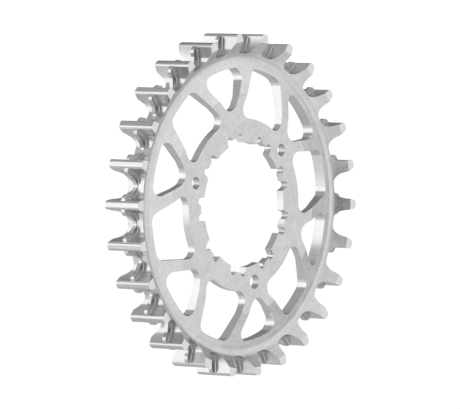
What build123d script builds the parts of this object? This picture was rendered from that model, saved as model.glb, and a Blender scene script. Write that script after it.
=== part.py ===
from build123d import *

import math
import os

# Belt drive sprocket lying flat: the axis is +Z, the front face is up and the
# back ends of the teeth rest on z = 0. Millimetres throughout.

# Belt pitch and teeth
belt_pitch = 11.0
tooth_count = 26
pitch_line_offset = 0.82
tooth_width = 11.0
tooth_height = 5.3
tooth_end_land = 2.2
tooth_tip_half_width = 1.05
tooth_flank_slope = 0.17
tooth_tip_round = 0.8
groove_floor_round = 2.6

# Centre flange between the teeth
flange_thickness = 1.1
flange_drop = 0.45
flange_root_round = 0.35
flange_shoulder_width = 1.5
flange_shoulder_round = 1.5
flange_notch_rise = -0.5
flange_notch_round = 1.0
flange_knee_height_share = 0.55
flange_knee_width_share = 0.8
flange_knee_round = 1.6

# Rim, with the slopes that lead from it out to the tooth ends
rim_thickness = 3.65
rim_front_rise = 1.94
rim_back_drop = 1.62
rim_corner_round = 2.5
tooth_flare_slope = 0.95

# Hub plate and the cones between its flat faces and the rim
hub_setback = 1.65
hub_thickness = 2.15
hub_ring_width = 4.95
front_cone_length = 10.15
back_cone_length = 10.21

# Windows, six wide ones and six pointed ones in turn
window_count = 6
wide_corner_round = 2.5
pointed_apex_setback = 0.7
pointed_half_angle = 37.95
pointed_apex_round = 3.0
pointed_corner_round = 2.35
spoke_width = 2.61
spoke_taper = 0.07

# Splined bore
spline_count = 9
spline_tip_radius = 16.3
spline_depth = 1.25
spline_groove_half_width = 3.12
spline_relief_radius = 1.0
spline_relief_inset = 0.05

# Holes through the hub, each one beside a spline tip
hub_hole_count = 3
hub_hole_start_angle = 30.0
hub_hole_offset = 3.1
hub_hole_radius = 1.6
large_hub_hole_radius = 1.85

# Radii, heights and angles that follow from the sizes above
pitch_radius = belt_pitch * tooth_count / (2.0 * math.pi)
tip_radius = pitch_radius - pitch_line_offset
groove_floor_radius = tip_radius - tooth_height
tooth_end_radius = tip_radius - tooth_end_land
tooth_turn = 360.0 / tooth_count
flange_radius = tip_radius - flange_drop
window_rim_radius = groove_floor_radius - rim_thickness
spline_root_radius = spline_tip_radius + spline_depth
window_hub_radius = spline_root_radius + hub_ring_width
window_height = window_rim_radius - window_hub_radius
mid_height = tooth_width / 2.0
hub_front_height = tooth_width - hub_setback
hub_back_height = hub_front_height - hub_thickness
cutter_overrun = 2.0

# Section of the turned blank, from the spline tips out past the tooth tips
front_corner_radius = tooth_end_radius - (mid_height - rim_front_rise) / tooth_flare_slope
back_corner_radius = tooth_end_radius - (mid_height - rim_back_drop) / tooth_flare_slope
section_points = [
    (spline_tip_radius, hub_back_height),
    (spline_tip_radius, hub_front_height),
    (front_corner_radius - front_cone_length, hub_front_height),
    (front_corner_radius, mid_height + rim_front_rise),
    (tooth_end_radius, tooth_width),
    (tip_radius + cutter_overrun, tooth_width),
    (tip_radius + cutter_overrun, 0.0),
    (tooth_end_radius, 0.0),
    (back_corner_radius, mid_height - rim_back_drop),
    (back_corner_radius - back_cone_length, hub_back_height),
]
section = Polygon(*section_points, align=None)
rim_corners = []
for vertex in section.vertices():
    on_front = abs(vertex.X - front_corner_radius) < 0.01 and vertex.Y > mid_height
    on_back = abs(vertex.X - back_corner_radius) < 0.01 and vertex.Y < mid_height
    if on_front or on_back:
        rim_corners.append(vertex)
section = fillet(rim_corners, radius=rim_corner_round)
blank = revolve(Plane.XZ * section, axis=Axis.Z, revolution_arc=360)

# One belt groove in plan, centred on the +X axis
half_tooth_turn = math.radians(tooth_turn / 2.0)


def flank_point(radius):
    """Point on the tooth flank beside a groove centred on the +X axis."""
    half_width = tooth_tip_half_width + tooth_flank_slope * (tip_radius - radius)
    along = radius * math.cos(half_tooth_turn) + half_width * math.sin(half_tooth_turn)
    across = radius * math.sin(half_tooth_turn) - half_width * math.cos(half_tooth_turn)
    return along, across


outer_x, outer_y = flank_point(tip_radius + cutter_overrun)
floor_x, floor_y = flank_point(groove_floor_radius)
groove = Polygon(
    (floor_x, -floor_y),
    (outer_x, -outer_y),
    (outer_x, outer_y),
    (floor_x, floor_y),
    align=None,
)
floor_corners = groove.vertices().sort_by(Axis.X)[0:2]
groove = fillet(floor_corners, radius=min(groove_floor_round, 1.2 * floor_y))

# Plan outline of the teeth with rounded tip corners
tooth_plan = Circle(tip_radius)
for index in range(tooth_count):
    tooth_plan -= Rot(0, 0, tooth_turn * (index + 0.5)) * groove
tip_corners = []
for vertex in tooth_plan.vertices():
    if abs(math.hypot(vertex.X, vertex.Y) - tip_radius) < 0.01:
        tip_corners.append(vertex)
tooth_plan = fillet(tip_corners, radius=min(tooth_tip_round, 0.9 * tooth_tip_half_width))

# Plan outline of the centre flange, notched between the teeth
notch_radius = groove_floor_radius + flange_notch_rise
notch_half_width = flank_point(flange_radius)[1] - flange_shoulder_width
notch_reach = flange_radius + cutter_overrun
notch_depth = flange_radius - notch_radius
knee_radius = notch_radius + flange_knee_height_share * notch_depth
knee_half_width = flange_knee_width_share * notch_half_width
notch = Polygon(
    (notch_radius, 0.0),
    (knee_radius, -knee_half_width),
    (flange_radius, -notch_half_width),
    (notch_reach, -notch_half_width),
    (notch_reach, notch_half_width),
    (flange_radius, notch_half_width),
    (knee_radius, knee_half_width),
    align=None,
)
knees = notch.vertices().sort_by(Axis.X)[1:3]
notch = fillet(knees, radius=min(flange_knee_round, 0.4 * notch_depth))
notch_bottom = notch.vertices().sort_by(Axis.X)[0]
notch = fillet(notch_bottom, radius=min(flange_notch_round, 0.25 * notch_depth))
flange_plan = Circle(flange_radius)
for index in range(tooth_count):
    flange_plan -= Rot(0, 0, tooth_turn * (index + 0.5)) * notch
shoulders = []
for vertex in flange_plan.vertices():
    if abs(math.hypot(vertex.X, vertex.Y) - flange_radius) < 0.01:
        shoulders.append(vertex)
flange_plan = fillet(shoulders, radius=flange_shoulder_round)
flange_plan += tooth_plan

# Toothed body, then a groove cut from each end toward the centre flange
sprocket = blank & extrude(flange_plan, amount=tooth_width)
groove_depth = mid_height - flange_thickness / 2.0 + cutter_overrun
groove_cutter = extrude(groove, amount=groove_depth)
root_edges = groove_cutter.edges().group_by(Axis.Z)[0].sort_by(Axis.X)[:-1]
groove_cutter = fillet(root_edges, radius=flange_root_round)
front_cutter = Pos(0, 0, mid_height + flange_thickness / 2.0) * groove_cutter
back_cutter = mirror(front_cutter, about=Plane.XY.offset(mid_height))
cutters = []
for index in range(tooth_count):
    turn = Rot(0, 0, tooth_turn * (index + 0.5))
    cutters.append(turn * front_cutter)
    cutters.append(turn * back_cutter)
sprocket -= cutters

# Pointed window centred on the +X axis, its point toward the hub
pointed_apex_radius = window_hub_radius + pointed_apex_setback
pointed_round_limit = 0.3 * (window_rim_radius - pointed_apex_radius)
pointed_reach = window_rim_radius + cutter_overrun
pointed_slope = math.tan(math.radians(pointed_half_angle))
pointed_reach_half_width = pointed_slope * (pointed_reach - pointed_apex_radius)
pointed_window = Polygon(
    (pointed_apex_radius, 0.0),
    (pointed_reach, -pointed_reach_half_width),
    (pointed_reach, pointed_reach_half_width),
    align=None,
)
pointed_window = pointed_window & Circle(window_rim_radius)
pointed_corners = pointed_window.vertices().sort_by(Axis.X)[1:]
corner_round = min(pointed_corner_round, pointed_round_limit)
pointed_window = fillet(pointed_corners, radius=corner_round)
pointed_apex = pointed_window.vertices().sort_by(Axis.X)[0]
apex_round = min(pointed_apex_round, pointed_round_limit)
pointed_window = fillet(pointed_apex, radius=apex_round)

# Wide window centred on the +X axis, one spoke away from the pointed windows
window_half_turn = 180.0 / window_count
apex_x = pointed_apex_radius * math.cos(math.radians(window_half_turn))
apex_y = pointed_apex_radius * math.sin(math.radians(window_half_turn))
spoke_slope = math.tan(math.radians(pointed_half_angle - window_half_turn))


def wide_half_width(x):
    """Half width of the wide window where its side line passes the given x."""
    pointed_side = apex_y - spoke_slope * (x - apex_x)
    return pointed_side - spoke_width - spoke_taper * (x - window_hub_radius)


wide_start = window_hub_radius * math.cos(math.radians(window_half_turn))
wide_reach = window_rim_radius + cutter_overrun
wide_window = Polygon(
    (wide_start, -wide_half_width(wide_start)),
    (wide_reach, -wide_half_width(wide_reach)),
    (wide_reach, wide_half_width(wide_reach)),
    (wide_start, wide_half_width(wide_start)),
    align=None,
)
wide_window = (wide_window & Circle(window_rim_radius)) - Circle(window_hub_radius)
wide_round_limit = min(0.4 * window_height, 0.8 * wide_half_width(window_rim_radius))
corner_round = min(wide_corner_round, wide_round_limit)
wide_window = fillet(wide_window.vertices(), radius=corner_round)

for index in range(window_count):
    turn = 2.0 * window_half_turn * index
    sprocket -= Rot(0, 0, turn) * extrude(wide_window, amount=tooth_width)
    turn += window_half_turn
    sprocket -= Rot(0, 0, turn) * extrude(pointed_window, amount=tooth_width)

# Spline groove with a round relief in each bottom corner
relief_x = spline_root_radius - spline_relief_inset
relief_y = spline_groove_half_width - spline_relief_radius
spline_groove = Rectangle(spline_root_radius, 2.0 * spline_groove_half_width)
spline_groove = Pos(spline_root_radius / 2.0, 0) * spline_groove
spline_groove = spline_groove & Circle(spline_root_radius)
spline_groove += Pos(relief_x, relief_y) * Circle(spline_relief_radius)
spline_groove += Pos(relief_x, -relief_y) * Circle(spline_relief_radius)
spline_cutter = extrude(spline_groove, amount=tooth_width)
for index in range(spline_count):
    turn = hub_hole_start_angle + 360.0 / spline_count * (index + 0.5)
    sprocket -= Rot(0, 0, turn) * spline_cutter

# Hub holes, the last one larger than the others
hole_circle_radius = spline_root_radius + hub_hole_offset
for index in range(hub_hole_count):
    last = index == hub_hole_count - 1
    radius = large_hub_hole_radius if last else hub_hole_radius
    hole = Pos(hole_circle_radius, 0, mid_height) * Cylinder(radius, tooth_width)
    turn = hub_hole_start_angle + 360.0 / hub_hole_count * index
    sprocket -= Rot(0, 0, turn) * hole

os.makedirs("parts", exist_ok=True)
export_step(sprocket, "parts/sprocket.step")
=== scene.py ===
"""A machined bicycle belt drive sprocket lying on a pale floor in a light tent.

The sprocket is one solid from the frame. This script gives its turned faces and its milled
walls their finish, and sets up the floor, the tent and the camera.
"""

import logging
import math
from dataclasses import dataclass, field
from enum import Enum
from typing import Any, Union

import bpy
from mathutils import Matrix, Vector

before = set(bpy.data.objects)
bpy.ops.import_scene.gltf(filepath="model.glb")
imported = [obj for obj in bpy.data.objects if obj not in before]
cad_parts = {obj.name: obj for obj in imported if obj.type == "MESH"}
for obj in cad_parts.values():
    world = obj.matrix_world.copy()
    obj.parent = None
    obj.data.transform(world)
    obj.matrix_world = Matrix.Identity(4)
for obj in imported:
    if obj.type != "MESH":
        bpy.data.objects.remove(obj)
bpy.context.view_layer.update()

log = logging.getLogger("sprocket")

MILLIMETRE = 0.001
CAMERA_RAY = "Is Camera Ray"
NOISE_MIDDLE = 0.5
QUARTER_TURN = 90.0
UP = Vector((0.0, 0.0, 1.0))
WHITE = (1.0, 1.0, 1.0, 1.0)

Colour = tuple[float, float, float, float]


class Operation(Enum):
    """The Math node's operations that the shaders here use."""

    ADD = "ADD"
    SUBTRACT = "SUBTRACT"
    MULTIPLY = "MULTIPLY"
    ABSOLUTE = "ABSOLUTE"
    ROOT = "SQRT"
    ANGLE = "ARCTAN2"


class MixSocket(Enum):
    """The Mix node's sockets for colours, by number."""

    SHARE = 0
    FIRST = 6
    SECOND = 7
    RESULT = 2


class Value:
    """A number in a shader: wraps an output socket, so that maths is written as maths."""

    def __init__(self, sheet: "NodeSheet", socket: bpy.types.NodeSocket) -> None:
        """Keep the sheet that the socket's node is on, and the socket."""
        self.sheet = sheet
        self.socket = socket

    def _maths(self, operation: Operation, *terms: "Term") -> "Value":
        """Add a Math node.

        Args:
            operation: What it does.
            *terms: Its inputs, in order.

        Returns:
            The node's result.
        """
        inputs = dict(enumerate(terms))
        node = self.sheet.add("ShaderNodeMath", {"operation": operation.value}, inputs)
        return Value(self.sheet, node.outputs[0])

    def __add__(self, other: "Term") -> "Value":
        """Return the sum."""
        return self._maths(Operation.ADD, self, other)

    def __sub__(self, other: "Term") -> "Value":
        """Return the difference."""
        return self._maths(Operation.SUBTRACT, self, other)

    def __mul__(self, other: "Term") -> "Value":
        """Return the product."""
        return self._maths(Operation.MULTIPLY, self, other)

    def __rsub__(self, other: "Term") -> "Value":
        """Return the difference from a number on the left."""
        return self._maths(Operation.SUBTRACT, other, self)

    __radd__ = __add__
    __rmul__ = __mul__

    def absolute(self) -> "Value":
        """Return the value without its sign."""
        return self._maths(Operation.ABSOLUTE, self)

    def root(self) -> "Value":
        """Return the square root."""
        return self._maths(Operation.ROOT, self)

    def angle_to(self, other: "Term") -> "Value":
        """Return the angle whose tangent is this over the other value, in radians."""
        return self._maths(Operation.ANGLE, self, other)

    def rise(self, start: float, end: float) -> "Value":
        """Return a smooth step.

        Args:
            start: The value at which the step is still 0.
            end: The value at which it reaches 1. It may be less than start.

        Returns:
            0 to 1, easing in and out.
        """
        settings = {"interpolation_type": "SMOOTHSTEP"}
        inputs = {"Value": self, "From Min": start, "From Max": end}
        node = self.sheet.add("ShaderNodeMapRange", settings, inputs)
        return Value(self.sheet, node.outputs["Result"])

    def towards(self, other: "Term", share: "Term") -> "Value":
        """Return this value, moved towards another by a share."""
        return self + (other - self) * share


Term = Union[Value, float]


class NodeSheet:
    """The node tree of a material or of the world, with short ways to add to it."""

    def __init__(self, tree: bpy.types.NodeTree) -> None:
        """Empty the tree and keep it."""
        self.tree = tree
        self.tree.nodes.clear()

    def add(
        self,
        kind: str,
        settings: dict[str, Any] | None = None,
        inputs: dict[Union[int, str], Any] | None = None,
    ) -> bpy.types.Node:
        """Add any node.

        Args:
            kind: The node's type, as bpy names it.
            settings: Properties that are set before the sockets.
            inputs: What each input socket gets: a Value, a socket or a plain setting.

        Returns:
            The new node.
        """
        node = self.tree.nodes.new(kind)
        for name, setting in (settings or {}).items():
            setattr(node, name, setting)
        for name, given in (inputs or {}).items():
            if isinstance(given, Value):
                given = given.socket
            if isinstance(given, bpy.types.NodeSocket):
                self.tree.links.new(given, node.inputs[name])
            else:
                node.inputs[name].default_value = given
        return node

    def value(self, node: bpy.types.Node, output: Union[int, str] = 0) -> Value:
        """Return one of a node's outputs as a Value."""
        return Value(self, node.outputs[output])

    def parts(self, vector: bpy.types.NodeSocket) -> tuple[Value, Value, Value]:
        """Return the three parts of a vector.

        Args:
            vector: The vector's socket.

        Returns:
            Its x, y and z.
        """
        node = self.add("ShaderNodeSeparateXYZ", inputs={0: vector})
        return self.value(node, 0), self.value(node, 1), self.value(node, 2)

    def vector(self, x: Term, y: Term, z: Term) -> bpy.types.NodeSocket:
        """Return a vector made of three values."""
        return self.add("ShaderNodeCombineXYZ", inputs={0: x, 1: y, 2: z}).outputs[0]

    def noise(self, at: bpy.types.NodeSocket, scale: float, detail: float) -> Value:
        """Return a noise texture.

        Args:
            at: The vector that it is read at.
            scale: Waves per unit of that vector.
            detail: How many finer layers it holds.

        Returns:
            About -0.5 to 0.5, centred on 0.
        """
        inputs = {"Vector": at, "Scale": scale, "Detail": detail}
        node = self.add("ShaderNodeTexNoise", inputs=inputs)
        return self.value(node, "Fac") - NOISE_MIDDLE

    def blend(self, share: Term, first: Any, second: Any) -> bpy.types.NodeSocket:
        """Return a colour between two colours.

        Args:
            share: 0 for the first colour and 1 for the second.
            first: A colour or a colour socket.
            second: A colour or a colour socket.

        Returns:
            The blended colour.
        """
        inputs = {
            MixSocket.SHARE.value: share,
            MixSocket.FIRST.value: first,
            MixSocket.SECOND.value: second,
        }
        node = self.add("ShaderNodeMix", {"data_type": "RGBA"}, inputs)
        return node.outputs[MixSocket.RESULT.value]

    def cosine(self, first: Any, second: Any) -> Value:
        """Return the cosine of the angle between two unit vectors.

        Args:
            first: A vector or a vector socket.
            second: A vector or a vector socket.

        Returns:
            The cosine.
        """
        settings = {"operation": "DOT_PRODUCT"}
        node = self.add("ShaderNodeVectorMath", settings, {0: first, 1: second})
        return self.value(node, "Value")

    def bump(
        self, distance: float, height: Value, normal: bpy.types.NodeSocket
    ) -> bpy.types.NodeSocket:
        """Return a normal with a relief on it.

        Args:
            distance: The relief's depth for a height of 1, in metres.
            height: Where the relief is high and where it is low.
            normal: The normal that it is laid on.

        Returns:
            The new normal.
        """
        inputs = {"Strength": 1.0, "Distance": distance, "Height": height, "Normal": normal}
        return self.add("ShaderNodeBump", inputs=inputs).outputs[0]

    def mix_shaders(
        self, share: Value, first: bpy.types.NodeSocket, second: bpy.types.NodeSocket
    ) -> bpy.types.NodeSocket:
        """Return a shader between two shaders.

        Args:
            share: 0 for the first shader and 1 for the second.
            first: A shader.
            second: A shader.

        Returns:
            The mixed shader.
        """
        inputs = {0: share, 1: first, 2: second}
        return self.add("ShaderNodeMixShader", inputs=inputs).outputs[0]


@dataclass(frozen=True)
class Bearing:
    """A direction seen from the sprocket, in degrees.

    The azimuth turns from +X towards +Y, and the elevation rises from the floor.
    """

    azimuth: float
    elevation: float = 0.0

    def vector(self) -> Vector:
        """Work the direction out as a vector.

        Returns:
            The unit vector that points this way.
        """
        around = math.radians(self.azimuth)
        rise = math.radians(self.elevation)
        flat = math.cos(rise)
        return Vector((flat * math.cos(around), flat * math.sin(around), math.sin(rise)))


@dataclass(frozen=True)
class Shade:
    """A round area of the tent that is lighter or darker than the cloth around it."""

    towards: Bearing
    inner_angle: float
    outer_angle: float
    level: float


@dataclass(frozen=True)
class LightBank:
    """An upright bank of light behind the cloth, between two azimuths.

    Its softnesses and its top are sines of angles, as the shader works with them.
    """

    start: Bearing = Bearing(133.5)
    start_softness: float = 0.03
    end: Bearing = Bearing(187.0)
    end_softness: float = 0.12
    top: float = 0.10
    top_softness: float = 0.25
    level: float = 1.38


@dataclass(frozen=True)
class LightTent:
    """The cloth tent that lights the sprocket, as the world's background."""

    top_level: float = 1.0
    low_level: float = 0.60
    low_height: float = -0.10
    top_height: float = 0.72
    cloth: Colour = WHITE
    backdrop: Colour = WHITE
    shades: tuple[Shade, ...] = (
        Shade(Bearing(326.0, 3.0), 20.0, 47.0, 0.54),
        Shade(Bearing(18.0, 42.0), 8.0, 34.0, 1.08),
        Shade(Bearing(178.0, 46.0), 30.0, 62.0, 0.74),
        Shade(Bearing(171.0, 56.0), 11.0, 22.0, 0.0),
        Shade(Bearing(200.0, -39.0), 14.0, 42.0, 0.88),
        Shade(Bearing(290.0, -45.0), 30.0, 62.0, 0.56),
        Shade(Bearing(56.0, -36.0), 44.0, 60.0, 0.48),
        Shade(Bearing(24.0, -40.0), 12.0, 38.0, 0.26),
        Shade(Bearing(17.0, -4.0), 12.0, 28.0, 0.0),
    )
    bank: LightBank = LightBank()

    def build(self) -> bpy.types.World:
        """Make the world.

        Returns:
            The world, which is also made the scene's.
        """
        world = bpy.data.worlds.new("light_tent")
        bpy.context.scene.world = world
        world.use_nodes = True
        sheet = NodeSheet(world.node_tree)
        look = sheet.add("ShaderNodeTexCoord").outputs["Generated"]
        level = self._cloth(sheet, look)
        level = self._bank(sheet, look, level)
        tent = sheet.add("ShaderNodeBackground", inputs={"Color": self.cloth, "Strength": level})
        backdrop = sheet.add("ShaderNodeBackground", inputs={"Color": self.backdrop})
        seen = sheet.value(sheet.add("ShaderNodeLightPath"), CAMERA_RAY)
        shown = sheet.mix_shaders(seen, tent.outputs[0], backdrop.outputs[0])
        sheet.add("ShaderNodeOutputWorld", inputs={"Surface": shown})
        log.info("light tent set")
        return world

    def _cloth(self, sheet: NodeSheet, look: bpy.types.NodeSocket) -> Value:
        """Shade the cloth: lighter overhead, with its round areas.

        Args:
            sheet: The world's sheet.
            look: The direction that is looked in.

        Returns:
            The cloth's level in that direction.
        """
        overhead = sheet.cosine(look, UP).rise(self.low_height, self.top_height)
        level = overhead * (self.top_level - self.low_level) + self.low_level
        for shade in self.shades:
            near = sheet.cosine(look, shade.towards.vector())
            outer = math.cos(math.radians(shade.outer_angle))
            inner = math.cos(math.radians(shade.inner_angle))
            level = level.towards(shade.level, near.rise(outer, inner))
        return level

    def _bank(self, sheet: NodeSheet, look: bpy.types.NodeSocket, level: Value) -> Value:
        """Lay the bank of light over the cloth.

        Args:
            sheet: The world's sheet.
            look: The direction that is looked in.
            level: The cloth's level.

        Returns:
            The level with the bank of light.
        """
        bank = self.bank
        past_start = Bearing(bank.start.azimuth + QUARTER_TURN).vector()
        before_end = Bearing(bank.end.azimuth - QUARTER_TURN).vector()
        start = sheet.cosine(look, past_start)
        end = sheet.cosine(look, before_end)
        height = sheet.cosine(look, UP)
        lit = start.rise(-bank.start_softness, bank.start_softness)
        lit = lit * end.rise(-bank.end_softness, bank.end_softness)
        lit = lit * height.rise(bank.top + bank.top_softness, bank.top)
        return level.towards(bank.level, lit)


@dataclass(frozen=True)
class Band:
    """A range of radius or height in millimetres, with soft ends."""

    low: float
    high: float
    softness: float

    def cover(self, value: Value) -> Value:
        """Tell where a value lies in the band.

        Args:
            value: A radius or a height in millimetres.

        Returns:
            1 in the band and 0 outside it.
        """
        above = value.rise(self.low - self.softness, self.low)
        below = value.rise(self.high + self.softness, self.high)
        return above * below


@dataclass(frozen=True)
class PaintedShadeRing:
    """A ring round the axis painted lighter or darker than the face around it, as painted shade
    or painted light on the turned faces.
    """

    band: Band
    weight: float


@dataclass(frozen=True)
class Grain:
    """One layer of a surface's texture: its waves per millimetre, its fineness and its weight."""

    scale: float
    detail: float
    weight: float

    def at(self, sheet: NodeSheet, points: bpy.types.NodeSocket) -> Value:
        """Return the layer, weighted and centred on 0."""
        return sheet.noise(points, self.scale, self.detail) * self.weight


@dataclass(frozen=True)
class Spot:
    """What the finish knows of the point that it colours, in millimetres.

    Around is the angle about the axis, in radians, and height is taken from the middle of
    the sprocket. Face is 1 on surfaces that look up or down and 0 on upright walls, and
    groove is 1 between the teeth.
    """

    points: bpy.types.NodeSocket
    x: Value
    y: Value
    z: Value
    radius: Value
    around: Value
    height: Value
    face: Value
    groove: Value


@dataclass(frozen=True)
class Marks:
    """Tool marks: their waves across them, their waves along them and their fineness."""

    across: float
    along: float
    detail: float

    def rings(self, sheet: NodeSheet, spot: Spot) -> Value:
        """Lay the marks round the axis.

        Args:
            sheet: The material's sheet.
            spot: The point.

        Returns:
            The marks, centred on 0.
        """
        points = sheet.vector(spot.radius * self.across, spot.around * self.along, 0.0)
        return sheet.noise(points, 1.0, self.detail)

    def uprights(self, sheet: NodeSheet, spot: Spot) -> Value:
        """Lay the marks up the walls.

        Args:
            sheet: The material's sheet.
            spot: The point.

        Returns:
            The marks, centred on 0.
        """
        x, y = spot.x * self.across, spot.y * self.across
        return sheet.noise(sheet.vector(x, y, spot.z * self.along), 1.0, self.detail)


@dataclass(frozen=True)
class SteelFinish:
    """Machined steel: satin turned faces, brighter window walls, and duller milled grooves."""

    name: str = "machined_steel"
    light_tone: Colour = (0.800, 0.790, 0.784, 1.0)
    deep_tone: Colour = (0.600, 0.593, 0.590, 1.0)
    # Painted shade: the flange faces between the teeth are painted dark, standing in for the
    # shade in the grooves.
    flange_shade_tone: Colour = (0.43, 0.43, 0.435, 1.0)
    land_tone: Colour = (0.84, 0.83, 0.825, 1.0)
    # Painted shade: the walls of the hub's holes are painted darker, standing in for the shade
    # inside the holes.
    bore_shade_tone: Colour = (0.53, 0.52, 0.515, 1.0)
    # Edges painted lighter: partly wear on the broken edges, partly a painted highlight along
    # them.
    worn_edge_and_highlight: Colour = (0.88, 0.875, 0.87, 1.0)
    face_roughness: float = 0.37
    wall_roughness: float = 0.20
    groove_roughness: float = 0.23
    roughness_spread: float = 0.16
    edge_round: float = 0.10 * MILLIMETRE
    relief: float = 0.006 * MILLIMETRE
    hollow: float = 0.030 * MILLIMETRE
    edge_samples: int = 4
    edge_start: float = 0.995
    edge_end: float = 0.93
    face_tilt_start: float = 0.55
    face_tilt_end: float = 0.68
    middle_height: float = 5.5
    flank_middle: float = 42.7
    groove_band: Band = Band(39.3, 44.1, 0.2)
    flange_band: Band = Band(-0.62, 0.62, 0.08)
    land_band: Band = Band(5.46, 5.6, 0.05)
    land_share: float = 0.7
    bore_band: Band = Band(18.5, 22.3, 0.1)
    corner_band: Band = Band(36.6, 39.6, 1.2)
    corner_marks: Marks = Marks(0.9, 0.6, 1.0)
    corner_weight: float = 0.8
    lathe_marks: Marks = Marks(2.2, 5.0, 3.0)
    cutter_marks: Marks = Marks(2.2, 0.16, 3.0)
    mark_weight: float = 0.8
    cloud: Grain = Grain(0.13, 2.0, 0.5)
    mottle: Grain = Grain(0.62, 3.0, 0.75)
    grain: Grain = Grain(2.6, 3.0, 1.0)
    wall_share: float = 0.38
    tone_middle: float = 0.5
    # Painted shade: dark rings in the crease between the hub plate and the cone, just inside the
    # rim's corner, and on the rim's corner fillet to dull its reflection.
    painted_shade_rings: tuple[PaintedShadeRing, ...] = (
        PaintedShadeRing(Band(28.52, 28.70, 0.12), -0.55),
        PaintedShadeRing(Band(37.0, 37.6, 0.4), -0.14),
        PaintedShadeRing(Band(38.5, 39.2, 0.4), -0.20),
    )

    def build(self) -> bpy.types.Material:
        """Make the material.

        Returns:
            The new material.
        """
        material = bpy.data.materials.new(self.name)
        material.use_nodes = True
        sheet = NodeSheet(material.node_tree)
        spot = self._spot(sheet)
        texture = self._texture(sheet, spot)
        settings = {"samples": self.edge_samples}
        rounded = sheet.add("ShaderNodeBevel", settings, {"Radius": self.edge_round}).outputs[0]
        steel = sheet.add(
            "ShaderNodeBsdfPrincipled",
            inputs={
                "Base Color": self._colour(sheet, spot, texture, rounded),
                "Metallic": 1.0,
                "Roughness": self._roughness(spot, texture),
                "Normal": self._normal(sheet, spot, texture, rounded),
            },
        )
        sheet.add("ShaderNodeOutputMaterial", inputs={"Surface": steel.outputs[0]})
        return material

    def _spot(self, sheet: NodeSheet) -> Spot:
        """Work out where the point lies and which kind of surface it is on.

        Args:
            sheet: The material's sheet.

        Returns:
            The point.
        """
        place = sheet.add("ShaderNodeTexCoord")
        settings = {"operation": "SCALE"}
        inputs = {0: place.outputs["Object"], "Scale": 1.0 / MILLIMETRE}
        points = sheet.add("ShaderNodeVectorMath", settings, inputs).outputs[0]
        x, y, z = sheet.parts(points)
        radius = (x * x + y * y).root()
        tilt = sheet.parts(place.outputs["Normal"])[2].absolute()
        return Spot(
            points=points,
            x=x,
            y=y,
            z=z,
            radius=radius,
            around=y.angle_to(x),
            height=(z - self.middle_height).absolute(),
            face=tilt.rise(self.face_tilt_start, self.face_tilt_end),
            groove=self.groove_band.cover(radius),
        )

    def _texture(self, sheet: NodeSheet, spot: Spot) -> Value:
        """Lay the tool marks and the grain: rings on faces and upright lines on walls.

        Args:
            sheet: The material's sheet.
            spot: The point.

        Returns:
            The texture, centred on 0 and weaker on walls.
        """
        rings = self.lathe_marks.rings(sheet, spot)
        uprights = self.cutter_marks.uprights(sheet, spot)
        texture = uprights.towards(rings, spot.face) * self.mark_weight
        texture = texture + self.mottle.at(sheet, spot.points)
        texture = texture + self.grain.at(sheet, spot.points)
        return texture * (spot.face * (1.0 - self.wall_share) + self.wall_share)

    def _tone(self, sheet: NodeSheet, spot: Spot, texture: Value) -> Value:
        """Choose between the deep tone and the light one.

        Args:
            sheet: The material's sheet.
            spot: The point.
            texture: The texture there.

        Returns:
            0 for the deep tone to 1 for the light one.
        """
        corner = self.corner_marks.rings(sheet, spot)
        corner = corner * self.corner_band.cover(spot.radius) * self.corner_weight * spot.face
        tone = texture + self.cloud.at(sheet, spot.points) + corner + self.tone_middle
        # The painted shade rings darken the turned faces in the crease and at the rim's corner.
        for line in self.painted_shade_rings:
            tone = tone + line.band.cover(spot.radius) * line.weight * spot.face
        return tone.rise(0.0, 1.0)

    def _colour(
        self, sheet: NodeSheet, spot: Spot, texture: Value, rounded: bpy.types.NodeSocket
    ) -> bpy.types.NodeSocket:
        """Colour the steel.

        Args:
            sheet: The material's sheet.
            spot: The point.
            texture: The texture there.
            rounded: The normal with broken edges.

        Returns:
            The colour, with the tones of its areas, painted shade on the flange faces and hole
            walls, and its broken edges painted lighter as wear and as a painted highlight.
        """
        # Painted shade: the flange faces in the grooves between the teeth get the dark flange
        # tone.
        flange_shade = spot.groove * self.flange_band.cover(spot.height) * spot.face
        land = self.land_band.cover(spot.height) * self.land_share
        # Painted shade: the hole walls get the darker bore tone.
        bore_shade = self.bore_band.cover(spot.radius) * (1.0 - spot.face)
        plain = sheet.add("ShaderNodeNewGeometry").outputs["Normal"]
        # The edges are painted lighter, as wear and as a painted highlight.
        edge_wear_and_highlight = sheet.cosine(rounded, plain).rise(self.edge_start, self.edge_end)
        tone = self._tone(sheet, spot, texture)
        colour = sheet.blend(tone, self.deep_tone, self.light_tone)
        colour = sheet.blend(flange_shade, colour, self.flange_shade_tone)
        colour = sheet.blend(land, colour, self.land_tone)
        colour = sheet.blend(bore_shade, colour, self.bore_shade_tone)
        return sheet.blend(edge_wear_and_highlight, colour, self.worn_edge_and_highlight)

    def _roughness(self, spot: Spot, texture: Value) -> Value:
        """Choose how dull the steel is: most on faces, and more in grooves than on walls.

        Args:
            spot: The point.
            texture: The texture there.

        Returns:
            The roughness.
        """
        wall = spot.groove * (self.groove_roughness - self.wall_roughness) + self.wall_roughness
        return wall.towards(self.face_roughness, spot.face) + texture * self.roughness_spread

    def _normal(
        self, sheet: NodeSheet, spot: Spot, texture: Value, rounded: bpy.types.NodeSocket
    ) -> bpy.types.NodeSocket:
        """Work the surface's relief into its normal.

        Args:
            sheet: The material's sheet.
            spot: The point.
            texture: The texture there.
            rounded: The normal with broken edges.

        Returns:
            The normal, with slightly hollow tooth flanks and the texture on it.
        """
        above = spot.radius - self.flank_middle
        hollow = above * above * spot.groove * (1.0 - spot.face)
        return sheet.bump(self.relief, texture, sheet.bump(self.hollow, hollow, rounded))


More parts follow.
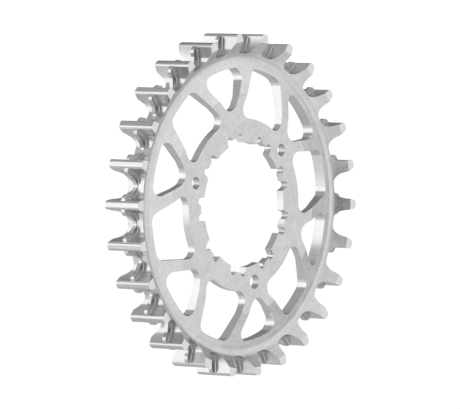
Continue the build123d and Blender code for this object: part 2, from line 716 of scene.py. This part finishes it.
@dataclass
class Sprocket:
    """The sprocket, one machined piece that the frame already holds."""

    node: str = "sprocket"
    finish: SteelFinish = field(default_factory=SteelFinish)

    def dress(self) -> bpy.types.Object:
        """Give the sprocket its finish.

        Returns:
            The sprocket's object.
        """
        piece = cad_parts[self.node]
        steel = self.finish.build()
        for slot in piece.material_slots:
            slot.material = steel
        log.info("%s dressed in %s", piece.name, steel.name)
        return piece


@dataclass
class Floor:
    """The pale floor that the sprocket lies on."""

    half_width: float = 6.0
    paper: Colour = (0.92, 0.92, 0.92, 1.0)
    glow: Colour = WHITE
    glow_strength: float = 1.06
    glow_share: float = 0.93

    def build(self) -> bpy.types.Object:
        """Make the floor.

        Returns:
            The floor's object, which isn't part of the sprocket.
        """
        bpy.ops.object.select_all(action="DESELECT")
        bpy.ops.mesh.primitive_plane_add(size=2.0 * self.half_width, location=(0.0, 0.0, 0.0))
        floor = bpy.context.object
        floor.name = "floor"
        floor.data.materials.append(self._paper())
        floor.visible_glossy = False
        log.info("floor laid")
        return floor

    def _paper(self) -> bpy.types.Material:
        """Make the floor's material: almost plain white to the camera, matt to the light.

        Returns:
            The new material.
        """
        material = bpy.data.materials.new("pale_paper")
        material.use_nodes = True
        sheet = NodeSheet(material.node_tree)
        matt = sheet.add("ShaderNodeBsdfDiffuse", inputs={"Color": self.paper})
        light = {"Color": self.glow, "Strength": self.glow_strength}
        glow = sheet.add("ShaderNodeEmission", inputs=light)
        seen = sheet.value(sheet.add("ShaderNodeLightPath"), CAMERA_RAY) * self.glow_share
        shown = sheet.mix_shaders(seen, matt.outputs[0], glow.outputs[0])
        sheet.add("ShaderNodeOutputMaterial", inputs={"Surface": shown})
        return material


@dataclass
class PhotoCamera:
    """The camera at the photograph's angle, looking down on the front face."""

    aim: Vector = field(default_factory=lambda: Vector((-2.246, 0.591, 6.514)) * MILLIMETRE)
    bearing: Bearing = Bearing(164.40, 39.31)
    roll: float = 92.28
    distance: float = 1776.35 * MILLIMETRE
    lens: float = 534.8
    sensor: float = 36.0
    reach: float = 100.0

    def build(self) -> bpy.types.Object:
        """Make the camera and make it the scene's.

        Returns:
            The camera's object.
        """
        data = bpy.data.cameras.new("photo_camera")
        data.lens = self.lens
        data.sensor_width = self.sensor
        data.clip_end = self.reach
        camera = bpy.data.objects.new("photo_camera", data)
        bpy.context.scene.collection.objects.link(camera)
        back = self.bearing.vector()
        level_right = UP.cross(back).normalized()
        turn = Matrix.Rotation(math.radians(self.roll), 3, back)
        right = turn @ level_right
        up = back.cross(right)
        axes = Matrix((right, up, back)).transposed()
        camera.matrix_world = Matrix.Translation(self.aim + back * self.distance) @ axes.to_4x4()
        bpy.context.scene.camera = camera
        log.info("camera set")
        return camera


def main() -> None:
    """Build the scene."""
    logging.basicConfig(level=logging.INFO)
    bpy.context.scene.view_settings.view_transform = "Standard"
    Sprocket().dress()
    Floor().build()
    LightTent().build()
    PhotoCamera().build()


if __name__ == "__main__":
    main()
